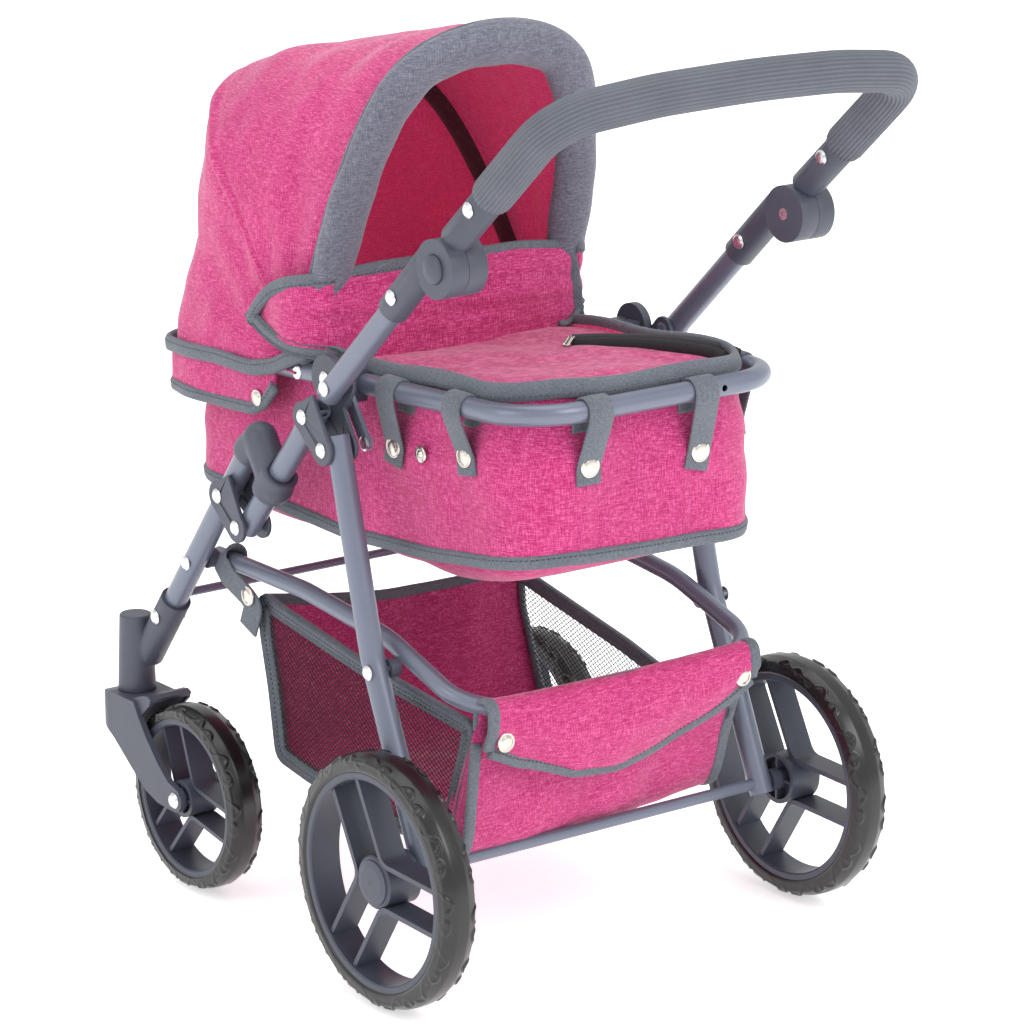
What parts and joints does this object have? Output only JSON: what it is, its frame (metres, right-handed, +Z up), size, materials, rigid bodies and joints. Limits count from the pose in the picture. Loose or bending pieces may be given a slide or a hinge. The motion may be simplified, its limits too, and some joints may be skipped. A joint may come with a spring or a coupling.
{
  "type": "doll stroller",
  "caption": "Folding doll stroller with soft carrycot, folding canopy, tilting push handle, mesh basket, swivel front casters and fixed rear wheels.",
  "frame": {"origin": "on the ground, in the middle of the footprint box", "axes": "+Z up, +Y to the rear where the handle is, +X to the stroller's left"},
  "size_m": [0.367, 0.5178, 0.6112],
  "materials": {
    "tube_paint": "satin",
    "dark_plastic": "matte",
    "zinc": "satin",
    "tyre_foam": "satin",
    "grip_rubber": "matte",
    "pink_fabric": "woven",
    "grey_fabric": "woven",
    "nickel_snap": "polished"
  },
  "bodies": {
    "front_frame": {"front_crossbar": "tube_paint", "front_rivets": "zinc", "front_leg_left": "tube_paint", "front_leg_right": "tube_paint", "caster_housing_left": "dark_plastic", "caster_housing_right": "dark_plastic", "fold_bracket_left": "dark_plastic", "fold_bracket_right": "dark_plastic"},
    "caster_left": {"fork_left": "dark_plastic", "caster_hardware_left": "zinc"},
    "caster_right": {"fork_right": "dark_plastic", "caster_hardware_right": "zinc"},
    "front_wheel_left": {"front_rim_left": "dark_plastic", "front_tyre_left": "tyre_foam"},
    "front_wheel_right": {"front_rim_right": "dark_plastic", "front_tyre_right": "tyre_foam"},
    "upper_frame": {"middle_tube_left": "tube_paint", "middle_tube_right": "tube_paint", "handle_tube_left": "tube_paint", "handle_tube_right": "tube_paint", "upper_bracket_left": "dark_plastic", "upper_bracket_right": "dark_plastic", "rail_lobe_left": "dark_plastic", "rail_lobe_right": "dark_plastic", "lower_knuckle_left": "dark_plastic", "lower_knuckle_right": "dark_plastic", "carrycot_rail": "tube_paint", "front_rail": "tube_paint", "support_bars": "tube_paint", "frame_rivets": "zinc", "rail_rivets": "zinc", "carrycot": "pink_fabric", "carrycot_cover": "pink_fabric", "rail_straps": "grey_fabric", "strap_snaps": "nickel_snap", "canopy_skin": "pink_fabric"},
    "lock_left": {"lock_sleeve_left": "dark_plastic"},
    "lock_right": {"lock_sleeve_right": "dark_plastic"},
    "handle": {"upper_knuckle_left": "dark_plastic", "upper_knuckle_right": "dark_plastic", "handle_bar": "tube_paint", "handle_grip": "grip_rubber", "handle_rivets": "zinc"},
    "button_left": {"release_button_left": "dark_plastic"},
    "button_right": {"release_button_right": "dark_plastic"},
    "canopy_front": {"canopy_front_bow": "zinc"},
    "canopy_middle": {"canopy_middle_bow": "zinc"},
    "rear_frame": {"rear_leg_left": "tube_paint", "rear_leg_right": "tube_paint", "rear_axle": "zinc", "rear_spacers": "dark_plastic", "rear_rivets": "zinc"},
    "rear_wheel_left": {"rear_rim_left": "dark_plastic", "rear_tyre_left": "tyre_foam"},
    "rear_wheel_right": {"rear_rim_right": "dark_plastic", "rear_tyre_right": "tyre_foam"},
    "basket_frame": {"basket_tube": "tube_paint", "basket_spacers": "dark_plastic", "basket_fabric": "pink_fabric"}
  },
  "joints": [
    {"name": "caster_swivel_left", "type": "hinge", "parent": "front_frame", "child": "caster_left", "pos_m": [0.1464, -0.22794, 0.124], "axis": [0, 0, 1], "continuous": true},
    {"name": "front_wheel_spin_left", "type": "hinge", "parent": "caster_left", "child": "front_wheel_left", "pos_m": [0.1464, -0.15344, 0.0658], "axis": [1, 0, 0], "continuous": true},
    {"name": "caster_swivel_right", "type": "hinge", "parent": "front_frame", "child": "caster_right", "pos_m": [-0.1464, -0.22794, 0.124], "axis": [0, 0, 1], "continuous": true},
    {"name": "front_wheel_spin_right", "type": "hinge", "parent": "caster_right", "child": "front_wheel_right", "pos_m": [-0.1464, -0.15344, 0.0658], "axis": [1, 0, 0], "continuous": true},
    {"name": "frame_fold", "type": "hinge", "parent": "front_frame", "child": "upper_frame", "pos_m": [0, -0.09394, 0.2695], "axis": [1, 0, 0], "range_deg": [-85, 0], "deforming": ["carrycot", "carrycot_cover", "canopy_skin", "rail_straps", "strap_snaps", "basket_fabric"]},
    {"name": "rear_leg_fold", "type": "hinge", "parent": "upper_frame", "child": "rear_frame", "pos_m": [0, 0.00686, 0.3432], "axis": [1, 0, 0], "range_deg": [0, 48]},
    {"name": "basket_fold", "type": "hinge", "parent": "front_frame", "child": "basket_frame", "pos_m": [0, -0.16014, 0.2297], "axis": [1, 0, 0], "range_deg": [-57, 0]},
    {"name": "rear_wheel_spin_left", "type": "hinge", "parent": "rear_frame", "child": "rear_wheel_left", "pos_m": [0.1705, 0.10106, 0.085], "axis": [1, 0, 0], "continuous": true},
    {"name": "rear_wheel_spin_right", "type": "hinge", "parent": "rear_frame", "child": "rear_wheel_right", "pos_m": [-0.1705, 0.10106, 0.085], "axis": [1, 0, 0], "continuous": true},
    {"name": "lock_slide_left", "type": "slide", "parent": "upper_frame", "child": "lock_left", "axis": [0, 0.6537, 0.7568], "range_m": [0, 0.02]},
    {"name": "lock_slide_right", "type": "slide", "parent": "upper_frame", "child": "lock_right", "axis": [0, 0.6537, 0.7568], "range_m": [0, 0.02]},
    {"name": "handle_tilt", "type": "hinge", "parent": "upper_frame", "child": "handle", "pos_m": [0, 0.13256, 0.483], "axis": [1, 0, 0], "range_deg": [-50, 55]},
    {"name": "button_press_left", "type": "slide", "parent": "handle", "child": "button_left", "axis": [-1, 0, 0], "range_m": [0, 0.0022], "stiffness_N_per_m": 400},
    {"name": "button_press_right", "type": "slide", "parent": "handle", "child": "button_right", "axis": [1, 0, 0], "range_m": [0, 0.0022], "stiffness_N_per_m": 400},
    {"name": "canopy_fold", "type": "hinge", "parent": "upper_frame", "child": "canopy_front", "pos_m": [0, -0.07894, 0.3726], "axis": [1, 0, 0], "range_deg": [0, 60], "deforming": ["canopy_skin"]},
    {"name": "canopy_middle_fold", "type": "hinge", "parent": "upper_frame", "child": "canopy_middle", "pos_m": [0, -0.07894, 0.3726], "axis": [1, 0, 0], "range_deg": [0, 24]}
  ],
  "couplings": [
    {"joint": "rear_leg_fold", "follows": "frame_fold", "ratio": -0.5647},
    {"joint": "basket_fold", "follows": "frame_fold", "ratio": 0.6706},
    {"joint": "canopy_middle_fold", "follows": "canopy_fold", "ratio": 0.4}
  ]
}
